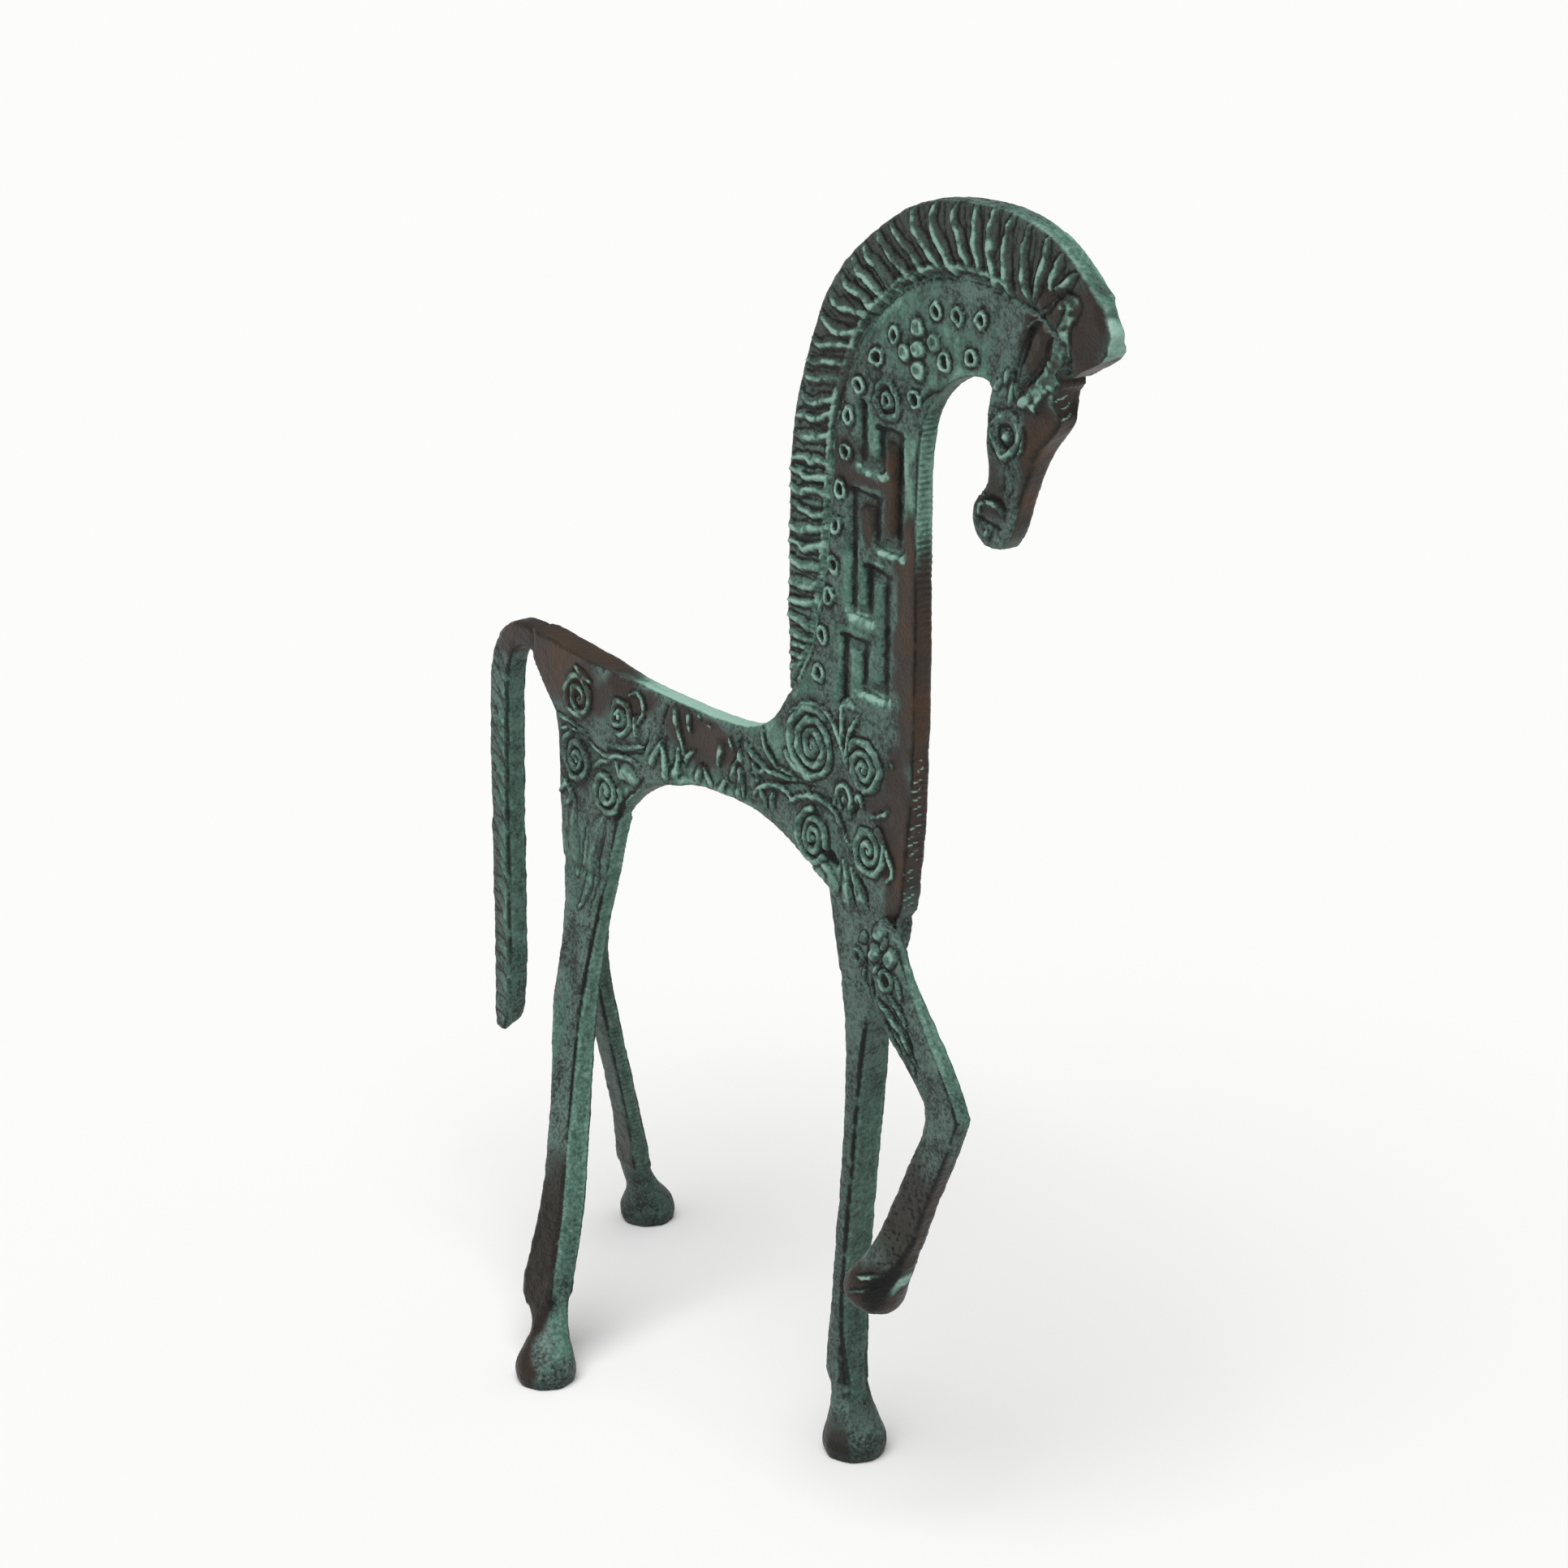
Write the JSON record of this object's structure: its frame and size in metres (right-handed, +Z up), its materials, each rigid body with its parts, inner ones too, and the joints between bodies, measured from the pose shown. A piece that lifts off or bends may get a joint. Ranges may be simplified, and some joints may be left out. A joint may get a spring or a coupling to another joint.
{
  "type": "horse figurine",
  "caption": "Flat-cast bronze horse figurine in an ancient style, stepping with a raised foreleg, with an arched neck, a crest mane and a hanging tail; stands on a shelf or table.",
  "frame": {"origin": "on the ground, at the middle of the footprint box", "axes": "+Z up; +X to the horse's head; +Y to the horse's left side"},
  "size_m": [0.2278, 0.082, 0.3006],
  "materials": {
    "body_bronze": "cast bronze with green-grey patina",
    "mane_bronze": "cast bronze with dark patina",
    "tail_bronze": "cast bronze with brown patina",
    "leg_bronze": "cast bronze with green-grey patina",
    "dowel_bronze": "bare bronze rod"
  },
  "bodies": {
    "root": {"body": "body_bronze", "mane_crest": "mane_bronze", "tail": "tail_bronze", "right_hind_leg": "leg_bronze", "left_hind_leg": "leg_bronze", "left_foreleg": "leg_bronze", "right_foreleg": "leg_bronze", "right_hind_dowel_1": "dowel_bronze", "right_hind_dowel_2": "dowel_bronze", "left_foreleg_dowel_1": "dowel_bronze", "left_foreleg_dowel_2": "dowel_bronze", "right_foreleg_dowel_1": "dowel_bronze", "right_foreleg_dowel_2": "dowel_bronze", "left_hind_dowel_1": "dowel_bronze", "left_hind_dowel_2": "dowel_bronze", "mane_dowel_1": "dowel_bronze", "mane_dowel_2": "dowel_bronze", "mane_dowel_3": "dowel_bronze", "mane_dowel_4": "dowel_bronze", "tail_dowel": "dowel_bronze"}
  },
  "joints": []
}
